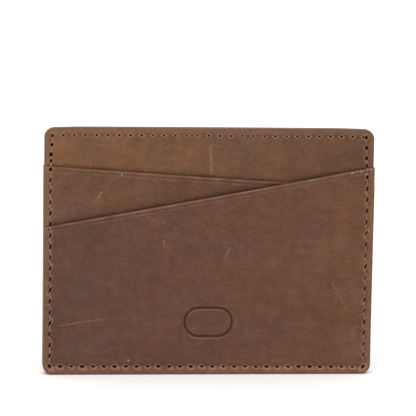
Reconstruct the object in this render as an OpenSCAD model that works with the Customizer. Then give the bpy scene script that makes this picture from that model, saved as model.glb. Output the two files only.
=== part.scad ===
// Slim leather card sleeve. Two halves, each a lined body panel that carries two card
// pockets with slanted mouths, are sewn together on three sides round a centre pocket
// that opens upwards. The back half is the front half turned half a turn about Z.
//
// It stands upright: X is the width, Y the thickness with the front towards -Y, and Z
// the height. The origin is the middle of the bottom edge. A layer's "depth" is its
// distance from the middle plane between the halves.

/* [Outline] */
// Width across the painted side edges
wallet_w = 100; // [94:0.5:120]
// Height from the painted bottom edge to the painted top edge
wallet_h = 75; // [70:0.5:90]
// Radius of the four corners
corner_r = 3; // [1.5:0.5:6]
// Thickness of the paint on the cut edges
edge_coat_t = 0.2; // [0.1:0.05:0.4]

/* [Layers] */
// Leather of each body panel
body_leather_t = 0.8; // [0.7:0.05:1.4]
// Leather of each upper pocket
upper_leather_t = 0.7; // [0.6:0.05:1.2]
// Leather of each lower pocket
lower_leather_t = 0.8; // [0.6:0.05:1.2]
// Woven lining glued to the inside of each body panel
lining_t = 0.3; // [0.2:0.05:0.5]
// Gap of the centre pocket between the two linings
centre_gap = 0.3; // [0.2:0.05:1]
// Double-sided tape between a pocket and the layer behind it
tape_t = 0.1; // [0.05:0.05:0.3]
// Width of the tape, from the cut edge inwards
tape_w = 4; // [3.5:0.5:6]

/* [Pocket mouths] */
// Height of the upper mouth at the left edge
upper_mouth_left = 63.3; // [58:0.1:66]
// Height of the upper mouth at the right edge
upper_mouth_right = 56.9; // [52:0.1:66]
// Height of the lower mouth at the left edge
lower_mouth_left = 44.8; // [36:0.1:50]
// Height of the lower mouth at the right edge
lower_mouth_right = 63.4; // [50:0.1:66]

/* [Stitching] */
// Distance of the side stitches from the wallet's side edges
side_inset = 2; // [1.8:0.1:3]
// Distance of the top and bottom stitches from the edge there
row_inset = 2.5; // [2:0.1:3]
// Length of one stitch, rounded to fit a row
stitch_pitch = 3.32; // [2.5:0.02:5]
// Width and height of the thread
thread_t = 0.45; // [0.3:0.05:0.5]
// How far a stitch on show stands out of the leather
stitch_proud = 0.12; // [0:0.02:0.2]
// Gap round the thread in its needle hole
needle_gap = 0.04; // [0.02:0.01:0.08]
// Distance from the left corner's needle hole to the first hole of the top row
top_row_left = 3.6; // [1:0.1:4]
// Distance from the last hole of the top row to the right corner's needle hole
top_row_right = 1.4; // [1:0.1:4]
// Height of the hidden row that stops a card in the upper pocket
card_stop_z = 13; // [8:0.5:20]
// Distance from the wallet's side to the end of that row
card_stop_inset = 7; // [6:0.5:20]

/* [Stamp] */
// Width of the pressed blank frame on the front
stamp_w = 15.2; // [10:0.2:24]
// Height of the pressed frame
stamp_h = 9.5; // [6:0.1:14]
// Width of its pressed line
stamp_line = 0.8; // [0.5:0.1:1.2]
// Depth of its pressed line
stamp_depth = 0.25; // [0.1:0.05:0.4]
// Height of its middle above the bottom edge
stamp_z = 16.1; // [12:0.1:30]

/* [Hidden] */
$fn = 48;
SLACK = 1; // how far a cutting shape reaches past what it cuts

LEATHER = [0.45, 0.31, 0.25];
LINING = [0.30, 0.24, 0.21];
TAPE = [0.93, 0.90, 0.80];
THREAD = [0.50, 0.42, 0.34];
EDGE_PAINT = [0.41, 0.32, 0.28];

// The mouths as [height at the left edge, height at the right edge]
UPPER_MOUTH = [upper_mouth_left, upper_mouth_right];
LOWER_MOUTH = [lower_mouth_left, lower_mouth_right];

// Depth of the face of each layer that is nearer the middle
lining_d = centre_gap / 2;
body_d = lining_d + lining_t;
body_front_d = body_d + body_leather_t;
upper_d = body_front_d + tape_t;
upper_front_d = upper_d + upper_leather_t;
lower_d = upper_front_d + tape_t;
lower_front_d = lower_d + lower_leather_t;

// The leather without the paint on its edges
leather_w = wallet_w - 2 * edge_coat_t;
leather_h = wallet_h - 2 * edge_coat_t;
leather_r = corner_r - edge_coat_t;

// The side and bottom seam's needle holes
seam_x = wallet_w / 2 - side_inset;
seam_bottom_z = row_inset;
seam_top_z = wallet_h - row_inset;
SIDE_HOLES = hole_row(seam_bottom_z, seam_top_z);
BOTTOM_HOLES = hole_row(-seam_x, seam_x);

// The rows within one half
TOP_HOLES = hole_row(top_row_left - seam_x, seam_x - top_row_right);
card_stop_end = wallet_w / 2 - card_stop_inset;
CARD_STOP_HOLES = hole_row(-card_stop_end, card_stop_end);
top_threads_meet_d = (lining_d + body_front_d) / 2;
inner_proud = min(stitch_proud, centre_gap / 4);
card_stop_threads_meet_d = (body_d + upper_front_d) / 2;

// Needle holes spaced evenly from one end of a row to the other
function hole_row(from, to) =
  let (stitches = round((to - from) / stitch_pitch))
  [for (i = [0:stitches]) from + (to - from) * i / stitches];

// Height of a mouth at x
function mouth_z(mouth, x) = mouth[0] + (mouth[1] - mouth[0]) * (x / wallet_w + 0.5);

// Height that the tape behind a pocket must stay below at x
function tape_limit(mouth, x) = min(mouth_z(mouth, x), mouth_z(UPPER_MOUTH, x));

// Depth of whichever layer lies outermost at a point of the front half
function outer_d(x, z) =
  z < mouth_z(LOWER_MOUTH, x) ? lower_front_d :
  z < mouth_z(UPPER_MOUTH, x) ? upper_front_d : body_front_d;

// ---- outlines, drawn in X and Z ----

module rounded_rect(w, h, r) {
  translate([0, h / 2]) {
    square([w - 2 * r, h], center = true);
    square([w, h - 2 * r], center = true);
    for (x = [-1, 1], z = [-1, 1])
      translate([x * (w / 2 - r), z * (h / 2 - r)]) circle(r);
  }
}

module leather_outline() {
  translate([0, edge_coat_t]) rounded_rect(leather_w, leather_h, leather_r);
}

module wallet_outline() {
  rounded_rect(wallet_w, wallet_h, corner_r);
}

// Everything under a mouth
module below(mouth) {
  side = wallet_w / 2 + SLACK;
  polygon([
    [-side, -SLACK], [side, -SLACK],
    [side, mouth_z(mouth, side)], [-side, mouth_z(mouth, -side)]
  ]);
}

module edge_ring() {
  difference() {
    wallet_outline();
    leather_outline();
  }
}

// A flat layer of the front half, from depth d outwards
module layer(d, t) {
  translate([0, -d, 0]) rotate([90, 0, 0]) linear_extrude(t) children();
}

module half_turn() {
  rotate([0, 0, 180]) children();
}

// ---- thread ----

// Side view of one row's thread. Each hole is [place along the row, depth of the
// thread's outer face]; the legs in the holes end at meet_d. side is 1 for a thread
// that lies on the row's outer face and -1 for one on its inner face. The outline is
// grown by g.
function thread_profile(holes, meet_d, side, g) =
  let (
    last = len(holes) - 1,
    leg = thread_t / 2 + g,
    top = [for (h = holes) h[1] + side * g],
    under = [for (h = holes) h[1] - side * (thread_t + g)],
    end_d = meet_d - side * g
  )
  concat(
    [[holes[0][0] - leg, -top[0]]],
    [for (i = [0:last]) [holes[i][0], -top[i]]],
    [[holes[last][0] + leg, -top[last]]],
    [for (i = [last:-1:0], p = [
      [leg, under[i]], [leg, end_d], [-leg, end_d], [-leg, under[i]]
    ]) [holes[i][0] + p[0], -p[1]]]
  );

// A row along X at height z
module row_thread(xs, face_d, meet_d, side, z, g) {
  w = thread_t + 2 * g;
  translate([0, 0, z - w / 2]) linear_extrude(w)
    polygon(thread_profile([for (x = xs) [x, face_d]], meet_d, side, g));
}

// A column up the side at x, stepping down over each mouth
module column_thread(x, g) {
  w = thread_t + 2 * g;
  translate([x + w / 2, 0, 0]) rotate([0, -90, 0]) linear_extrude(w)
    polygon(thread_profile(
      [for (z = SIDE_HOLES) [z, outer_d(x, z) + stitch_proud]], 0, 1, g));
}

// The thread of the side and bottom seam that shows on the front
module seam_thread(g = 0) {
  row_thread(BOTTOM_HOLES, lower_front_d + stitch_proud, 0, 1, seam_bottom_z, g);
  for (x = [-seam_x, seam_x])
    column_thread(x, g);
}

module top_needle_thread(g = 0) {
  face_d = body_front_d + stitch_proud;
  row_thread(TOP_HOLES, face_d, top_threads_meet_d, 1, seam_top_z, g);
}

module top_bobbin_thread(g = 0) {
  face_d = lining_d - inner_proud;
  row_thread(TOP_HOLES, face_d, top_threads_meet_d, -1, seam_top_z, g);
}

module card_stop_needle_thread(g = 0) {
  row_thread(CARD_STOP_HOLES, upper_front_d, card_stop_threads_meet_d, 1, card_stop_z, g);
}

module card_stop_bobbin_thread(g = 0) {
  row_thread(CARD_STOP_HOLES, body_d, card_stop_threads_meet_d, -1, card_stop_z, g);
}

// ---- layers of one half ----

module body_panel() {
  difference() {
    layer(body_d, body_leather_t) leather_outline();
    seam_thread(needle_gap);
    top_needle_thread(needle_gap);
    top_bobbin_thread(needle_gap);
    card_stop_needle_thread(needle_gap);
    card_stop_bobbin_thread(needle_gap);
  }
}

module lining() {
  difference() {
    layer(lining_d, lining_t) leather_outline();
    seam_thread(needle_gap);
    top_needle_thread(needle_gap);
    top_bobbin_thread(needle_gap);
  }
}

module upper_pocket() {
  difference() {
    layer(upper_d, upper_leather_t) intersection() {
      leather_outline();
      below(UPPER_MOUTH);
    }
    seam_thread(needle_gap);
    card_stop_needle_thread(needle_gap);
    card_stop_bobbin_thread(needle_gap);
  }
}

module lower_pocket() {
  difference() {
    layer(lower_d, lower_leather_t) intersection() {
      leather_outline();
      below(LOWER_MOUTH);
    }
    seam_thread(needle_gap);
  }
}

// Three strips of tape, left, bottom and right, with a small break between them
module tape_strips(top_left, top_right) {
  break_w = 0.5;
  side_x = leather_w / 2 - tape_w;
  bottom_z = edge_coat_t + tape_w;
  intersection() {
    leather_outline();
    translate([-wallet_w / 2, 0]) square([wallet_w, bottom_z]);
  }
  for (s = [[-side_x - tape_w, top_left], [side_x, top_right]])
    translate([s[0], bottom_z + break_w])
      square([tape_w, s[1] - bottom_z - break_w]);
}

// Tape behind a pocket. Its sides stop short of the pocket's own mouth, where they
// would show, and of the upper mouth, above which a lower pocket has nothing behind it.
module pocket_tape(d, mouth) {
  short = 1.5;
  inner_x = leather_w / 2 - tape_w;
  left = min(tape_limit(mouth, -wallet_w / 2), tape_limit(mouth, -inner_x)) - short;
  right = min(tape_limit(mouth, wallet_w / 2), tape_limit(mouth, inner_x)) - short;
  difference() {
    layer(d, tape_t) tape_strips(left, right);
    seam_thread(needle_gap);
  }
}

// ---- paint on the edges ----

// The paint that one half of the closed side and bottom seam carries: every layer
// that reaches the edge there
module half_seam_coat() {
  layer(0, body_front_d) edge_ring();
  layer(body_front_d, upper_front_d - body_front_d) intersection() {
    edge_ring();
    below(UPPER_MOUTH);
  }
  layer(upper_front_d, lower_front_d - upper_front_d) intersection() {
    edge_ring();
    below(LOWER_MOUTH);
  }
}

// The stretch of the seam's paint between two heights, on the sides given
module seam_coat(from_x, to_x, from_z, to_z) {
  reach = lower_front_d + SLACK;
  intersection() {
    union() {
      half_seam_coat();
      half_turn() half_seam_coat();
    }
    translate([from_x, -reach, from_z])
      cube([to_x - from_x, 2 * reach, to_z - from_z]);
  }
}

// The paint along the top edge of one half, round both corners
module top_coat() {
  layer(lining_d, body_front_d - lining_d) intersection() {
    edge_ring();
    translate([-wallet_w / 2 - SLACK, wallet_h - corner_r])
      square([wallet_w + 2 * SLACK, corner_r + SLACK]);
  }
}

// ---- front half ----

module front_body_panel() { color(LEATHER) body_panel(); }
module front_lining() { color(LINING) lining(); }
module front_upper_pocket() { color(LEATHER) upper_pocket(); }
module front_upper_pocket_tape() { color(TAPE) pocket_tape(body_front_d, UPPER_MOUTH); }
module front_lower_pocket_tape() { color(TAPE) pocket_tape(upper_front_d, LOWER_MOUTH); }
module front_top_needle_thread() { color(THREAD) top_needle_thread(); }
module front_top_bobbin_thread() { color(THREAD) top_bobbin_thread(); }
module front_card_stop_needle_thread() { color(THREAD) card_stop_needle_thread(); }
module front_card_stop_bobbin_thread() { color(THREAD) card_stop_bobbin_thread(); }
module front_top_edge_coat() { color(EDGE_PAINT) top_coat(); }

// The only piece of the front that differs from the back: it has the pressed frame
module front_lower_pocket() {
  color(LEATHER) difference() {
    lower_pocket();
    translate([0, 0, stamp_z]) layer(lower_front_d - stamp_depth, stamp_depth + SLACK)
      stamp_frame();
  }
}

// A blank pressed frame with round ends
module stamp_frame() {
  difference() {
    stadium(stamp_w, stamp_h);
    stadium(stamp_w - 2 * stamp_line, stamp_h - 2 * stamp_line);
  }
}

module stadium(w, h) {
  square([w - h, h], center = true);
  for (x = [-1, 1])
    translate([x * (w - h) / 2, 0]) circle(d = h);
}

// ---- back half ----

module back_body_panel() { color(LEATHER) half_turn() body_panel(); }
module back_lining() { color(LINING) half_turn() lining(); }
module back_upper_pocket() { color(LEATHER) half_turn() upper_pocket(); }
module back_lower_pocket() { color(LEATHER) half_turn() lower_pocket(); }
module back_upper_pocket_tape() { color(TAPE) half_turn() pocket_tape(body_front_d, UPPER_MOUTH); }
module back_lower_pocket_tape() { color(TAPE) half_turn() pocket_tape(upper_front_d, LOWER_MOUTH); }
module back_top_needle_thread() { color(THREAD) half_turn() top_needle_thread(); }
module back_top_bobbin_thread() { color(THREAD) half_turn() top_bobbin_thread(); }
module back_card_stop_needle_thread() { color(THREAD) half_turn() card_stop_needle_thread(); }
module back_card_stop_bobbin_thread() { color(THREAD) half_turn() card_stop_bobbin_thread(); }
module back_top_edge_coat() { color(EDGE_PAINT) half_turn() top_coat(); }

// ---- what joins the halves ----

module centre_tape() {
  top_z = wallet_h - corner_r;
  color(TAPE) difference() {
    layer(-lining_d, centre_gap) tape_strips(top_z, top_z);
    seam_thread(needle_gap);
    half_turn() seam_thread(needle_gap);
  }
}

module seam_needle_thread() { color(THREAD) seam_thread(); }
module seam_bobbin_thread() { color(THREAD) half_turn() seam_thread(); }

module left_edge_coat() {
  color(EDGE_PAINT) seam_coat(-wallet_w / 2 - SLACK, 0, corner_r, wallet_h - corner_r);
}

module right_edge_coat() {
  color(EDGE_PAINT) seam_coat(0, wallet_w / 2 + SLACK, corner_r, wallet_h - corner_r);
}

module bottom_edge_coat() {
  color(EDGE_PAINT) seam_coat(-wallet_w / 2 - SLACK, wallet_w / 2 + SLACK, -SLACK, corner_r);
}

front_body_panel();
front_lining();
front_upper_pocket();
front_lower_pocket();
front_upper_pocket_tape();
front_lower_pocket_tape();
front_top_needle_thread();
front_top_bobbin_thread();
front_card_stop_needle_thread();
front_card_stop_bobbin_thread();
front_top_edge_coat();
back_body_panel();
back_lining();
back_upper_pocket();
back_lower_pocket();
back_upper_pocket_tape();
back_lower_pocket_tape();
back_top_needle_thread();
back_top_bobbin_thread();
back_card_stop_needle_thread();
back_card_stop_bobbin_thread();
back_top_edge_coat();
centre_tape();
seam_needle_thread();
seam_bobbin_thread();
left_edge_coat();
right_edge_coat();
bottom_edge_coat();
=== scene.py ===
"""A slim leather card sleeve that stands on a pale floor.

Two halves, each a lined body panel with two card pockets, are sewn together on three
sides round a centre pocket. The leather is modelled as what it is: thin bent sheets
with pricked needle holes, rubbed edges and a creased line below each mouth.

Shapes are worked out in millimetres for one half: x across, z up and d, the depth,
outwards from the middle plane. The front half faces -Y, and the back half is the same
thing turned half a turn about Z.
"""

import collections
import math

import bpy
import numpy as np
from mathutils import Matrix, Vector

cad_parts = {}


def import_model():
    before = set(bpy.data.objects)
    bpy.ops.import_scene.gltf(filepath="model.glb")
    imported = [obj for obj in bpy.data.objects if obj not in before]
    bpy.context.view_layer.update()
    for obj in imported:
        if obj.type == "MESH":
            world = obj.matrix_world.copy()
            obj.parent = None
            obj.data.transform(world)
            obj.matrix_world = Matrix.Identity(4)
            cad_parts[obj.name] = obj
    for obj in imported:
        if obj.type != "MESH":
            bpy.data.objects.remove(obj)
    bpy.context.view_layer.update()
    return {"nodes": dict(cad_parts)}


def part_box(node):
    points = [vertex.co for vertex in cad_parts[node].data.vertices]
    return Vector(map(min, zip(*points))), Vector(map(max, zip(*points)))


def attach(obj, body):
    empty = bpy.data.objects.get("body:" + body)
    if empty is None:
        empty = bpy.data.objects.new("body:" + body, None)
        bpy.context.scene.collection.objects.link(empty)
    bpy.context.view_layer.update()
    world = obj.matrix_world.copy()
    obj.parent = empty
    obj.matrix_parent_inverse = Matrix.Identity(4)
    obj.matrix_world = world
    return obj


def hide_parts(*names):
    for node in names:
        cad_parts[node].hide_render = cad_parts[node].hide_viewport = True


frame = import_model()
MM = 0.001
FRONT, BACK = 1, -1

# ---- sizes read from the frame ----

STAMP_BAND = (5, 40)  # the pressed frame lies between these heights
OFF_FACE = 0.1  # a vertex this far inside both faces belongs to the pressed frame's floor


def depths(node):
    """Least and greatest depth of a node of the front half."""
    low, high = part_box(node)
    return -high.y / MM, -low.y / MM


def points_of(node):
    """A front node's vertices as x, z and d."""
    x, y, z = np.array([v.co for v in frame["nodes"][node].data.vertices]).T / MM
    return x, z, -y


def mouth_of(node):
    """Height of a pocket's mouth at its left and right edges."""
    x, z, _ = points_of(node)
    return [z[abs(x - side) < 0.01].max() for side in (x.min(), x.max())]


def stamp_of(node):
    """Middle, width, height and depth of the frame pressed into a pocket."""
    x, z, d = points_of(node)
    within = (abs(x) < SIDE / 2) & (z > STAMP_BAND[0]) & (z < STAMP_BAND[1])
    pressed = within & (d > d.min() + OFF_FACE) & (d < d.max() - OFF_FACE)
    x, z, floor = x[pressed], z[pressed], d[pressed].max()
    return (z.max() + z.min()) / 2, np.ptp(x), np.ptp(z), d.max() - floor


WALLET_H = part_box("front_top_edge_coat")[1].z / MM
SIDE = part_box("front_body_panel")[1].x / MM
LEATHER_BOTTOM, LEATHER_TOP = (corner.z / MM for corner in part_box("front_body_panel"))
COAT_T = LEATHER_BOTTOM  # only the paint is below the leather
COAT_TOP_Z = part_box("front_top_edge_coat")[0].z / MM
CORNER_R = WALLET_H - COAT_TOP_Z - COAT_T

row_low, row_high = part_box("front_top_needle_thread")
THREAD_W = (row_high.z - row_low.z) / MM
TOP_ROW_Z = (row_high.z + row_low.z) / 2 / MM
TOP_ROW_X = (row_low.x / MM + THREAD_W / 2, row_high.x / MM - THREAD_W / 2)
seam_low, seam_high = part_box("seam_needle_thread")
SEAM_X = seam_high.x / MM - THREAD_W / 2
SEAM_BOTTOM_Z = seam_low.z / MM + THREAD_W / 2
SEAM_TOP_Z = seam_high.z / MM - THREAD_W / 2

UPPER_MOUTH = mouth_of("front_upper_pocket")
LOWER_MOUTH = mouth_of("front_lower_pocket")
STAMP_Z, STAMP_W, STAMP_H, STAMP_DEPTH = stamp_of("front_lower_pocket")
LINING_D = depths("front_lining")
BODY_D = depths("front_body_panel")
UPPER_D = depths("front_upper_pocket")
LOWER_D = depths("front_lower_pocket")

# ---- sizes of the detail that the frame leaves out ----

STITCH = 3.32  # length of one stitch, rounded to fit its row
# Drops from a side's top hole to the crowded holes of its back-tack
BACK_TACK = {-1: (0, 2.8, 5.9, 7.8, 10.2), 1: (0, 3.3, 6.5, 8.8, 12.2)}
TACKS = len(BACK_TACK[1])
# How far the sewn rows wander off their marked lines
RIGHT_SEAM_IN = 0.24
TOP_ROW_UP = 0.1
BOTTOM_ROW_UP = (0.14, -0.26)  # at its left end and at its right
TACK_IN = (0.2, 0.35)  # the two highest holes of a back-tack, further in than the seam
# Needle holes as half length, half width and lean from upright in radians
BOTTOM_HOLE = (0.46, 0.3, 1.75)
CORNER_HOLE = (0.6, 0.33, 0.75)
SIDE_HOLE = (0.72, 0.22, 0.3)
TACK_HOLE = (0.5, 0.34, 0.2)
TOP_HOLE = (0.32, 0.26, 1.75)
TACK_GROWTH = 0.3  # how much wider two of the back-tack's holes are worn
EDGE_R = 0.25  # rounding of the leather's edge at its grain side
FLESH_R = 0.12  # rounding at its flesh side
BOW = 0.45  # how far a half stands off the middle plane at the open top
FLARE = 0.22  # how far a mouth stands off the layer behind it
FLARE_REACH = 6  # how far below the mouth that fades
CREASE_DROP = 1.15  # from a mouth down to its creased line
CREASE_DEPTH = 0.06
HOLE_FLOOR = 0.25  # leather left under a needle hole, so that the tape stays covered
STAMP_LINE = 0.8  # width of the pressed frame's line
STAMP_RIM = 0.03  # how far the leather rises beside it
SET_BACK = 0.05  # gap behind a layer that covers another
CHANNEL = 0.15  # depth of the wide dip along a row of stitches
THREAD_BED = 0.07  # depth of the narrow dip right under the thread
PUFF = 0.05  # how far the leather rises beside the dip and round a needle hole
UNEVEN = 0.05  # size of the slow waves in every layer
SWELL = 0.22  # how far the sides stand out just below the mouths
NARROWED = 0.06  # how far they stand in where the layers don't pile up
TOP_WORN = 0.24  # how far the top corners are worn down
SINK = 0.7  # how far a lower pocket sinks where nothing is behind it
RUBBED_X = 11.8  # where the front's lower mouth is rubbed most
# Pale specks on the front's pockets as x and z
FLECKS = ((45.9, 62.0), (47.4, 61.3), (48.7, 62.7), (43.1, 61.6), (-26.7, 60.7), (-24.1, 4.4))


# ---- small functions of place ----


def smooth(value, low, high):
    """0 below low, 1 above high and a smooth step between."""
    t = np.clip((value - low) / (high - low), 0, 1)
    return t * t * (3 - 2 * t)


def hump(value, width):
    """1 where value is 0, falling smoothly to 0 over a few widths."""
    return np.exp(-((value / width) ** 2))


def waves(x, z, seed, shortest, longest):
    """Gentle unevenness between about -1 and 1, the same each run."""
    random = np.random.default_rng(seed)
    total = 0
    for _ in range(9):
        turn = 2 * np.pi / random.uniform(shortest, longest)
        angle, phase = random.uniform(0, 2 * np.pi, 2)
        total = total + np.sin(turn * (x * np.cos(angle) + z * np.sin(angle)) + phase)
    return total / 4


def mouth_z(mouth, x):
    """Height of a slanted mouth at x."""
    return mouth[0] + (mouth[1] - mouth[0]) * (x / SIDE + 1) / 2


def seam_distance(x, z):
    """Distance from the stitched line up both sides and along the bottom."""
    past = np.maximum(SEAM_BOTTOM_Z - z, 0) + np.maximum(z - SEAM_TOP_Z, 0)
    side = np.hypot(abs(x) - SEAM_X, past)
    bottom = np.hypot(z - SEAM_BOTTOM_Z, np.maximum(abs(x) - SEAM_X, 0))
    return np.minimum(side, bottom)


def top_row_distance(x, z):
    """Distance from the row that joins a half's body panel and lining at the top."""
    past = np.maximum(TOP_ROW_X[0] - x, 0) + np.maximum(x - TOP_ROW_X[1], 0)
    return np.hypot(z - TOP_ROW_Z, past)


def edge_distance(x, z):
    """Distance inwards from the leather's rounded outline."""
    middle = (LEATHER_TOP + LEATHER_BOTTOM) / 2
    across = abs(x) - (SIDE - CORNER_R)
    along = abs(z - middle) - (LEATHER_TOP - middle - CORNER_R)
    corner = np.hypot(np.maximum(across, 0), np.maximum(along, 0))
    return CORNER_R - corner - np.minimum(np.maximum(across, along), 0)


def stamp_distance(x, z):
    """Distance from the middle of the pressed line, less at its inside."""
    radius = STAMP_H / 2
    reach = np.maximum(abs(x) - (STAMP_W / 2 - radius), 0)
    return np.hypot(reach, z - STAMP_Z) - (radius - STAMP_LINE / 2)


def quilt(distance):
    """How a row of stitches draws the leather in."""
    channel = CHANNEL * hump(distance, 0.6) + THREAD_BED * hump(distance, 0.25)
    return PUFF * hump(distance - 1.3, 0.6) - channel


def bow(x, z):
    """How far a half bulges away from the middle plane."""
    across = np.cos(np.pi / 2 * np.clip(abs(x) / SEAM_X, 0, 1)) ** 2
    return BOW * across * smooth(z, SEAM_BOTTOM_Z, WALLET_H)


def shared_lift(x, z, half):
    """What lifts every layer of a half alike."""
    calm = smooth(edge_distance(x, z), 2, 12)
    uneven = UNEVEN * calm * waves(x, z, 40 + half, 12, 40)
    return bow(x, z) + quilt(seam_distance(x, z)) + uneven


# ---- needle holes ----


def even_row(start, end):
    """Evenly spaced holes about one stitch apart."""
    return np.linspace(start, end, round((end - start) / STITCH) + 1)


def side_column(side):
    """Heights of the needle holes up one side, closer together at its top."""
    tack = SEAM_TOP_Z - np.array(BACK_TACK[side][::-1])
    return np.concatenate([even_row(SEAM_BOTTOM_Z, tack[0]), tack[1:]])


def pricks(xs, zs, hole, seed):
    """Needle holes as rows of x, z, half length, half width and lean from upright."""
    long, wide, lean = hole
    random = np.random.default_rng(seed)
    xs, zs = np.broadcast_arrays(xs, zs)
    size = random.uniform(0.85, 1.15, len(xs))
    lean = lean + random.uniform(-0.12, 0.12, len(xs))
    shift = random.uniform(-0.06, 0.06, (2, len(xs)))
    return np.stack([xs + shift[0], zs + shift[1], long * size, wide * size, lean], 1)


def seam_pricks(half):
    """Holes of the side and bottom seam as one half shows them."""
    bottom = even_row(-SEAM_X, SEAM_X - RIGHT_SEAM_IN)
    bottom_z = SEAM_BOTTOM_Z + np.linspace(*BOTTOM_ROW_UP, len(bottom))
    rows = [pricks(bottom, bottom_z, BOTTOM_HOLE, 1)]
    rows[0][[0, -1], 2:] = CORNER_HOLE
    rows[0][0, 4] *= -1
    for side in (-1, 1):
        column = side_column(side)[1:]
        seam_x = side * SEAM_X - RIGHT_SEAM_IN * (side > 0)
        rows.append(pricks(seam_x, column[:-TACKS], SIDE_HOLE, 2 + side))
        inwards = np.array([0] * (TACKS - 2) + [*TACK_IN])
        wider = 1 + TACK_GROWTH * np.array([0] * (TACKS - 3) + [1, 1, 0])
        hole = (TACK_HOLE[0] * wider, TACK_HOLE[1] * wider, TACK_HOLE[2])
        rows.append(pricks(seam_x - side * inwards, column[-TACKS:], hole, 5 + side))
    return np.concatenate(rows) * (half, 1, 1, 1, half)


def top_pricks():
    """Holes of the row along a half's top."""
    return pricks(even_row(*TOP_ROW_X), TOP_ROW_Z + TOP_ROW_UP, TOP_HOLE, 9)


def prick_rings(x, z, pricks_near):
    """Distance from the nearest needle hole, 1 at its rim and growing outwards."""
    nearest = np.full(np.shape(x), 99.0)
    for px, pz, long, wide, lean in pricks_near:
        near = (abs(x - px) < 2) & (abs(z - pz) < 2)
        dx, dz = x[near] - px, z[near] - pz
        along = dx * np.sin(lean) + dz * np.cos(lean)
        across = dx * np.cos(lean) - dz * np.sin(lean)
        nearest[near] = np.minimum(nearest[near], np.hypot(along / long, across / wide))
    return nearest


# ---- the leather and lining sheets ----


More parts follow.
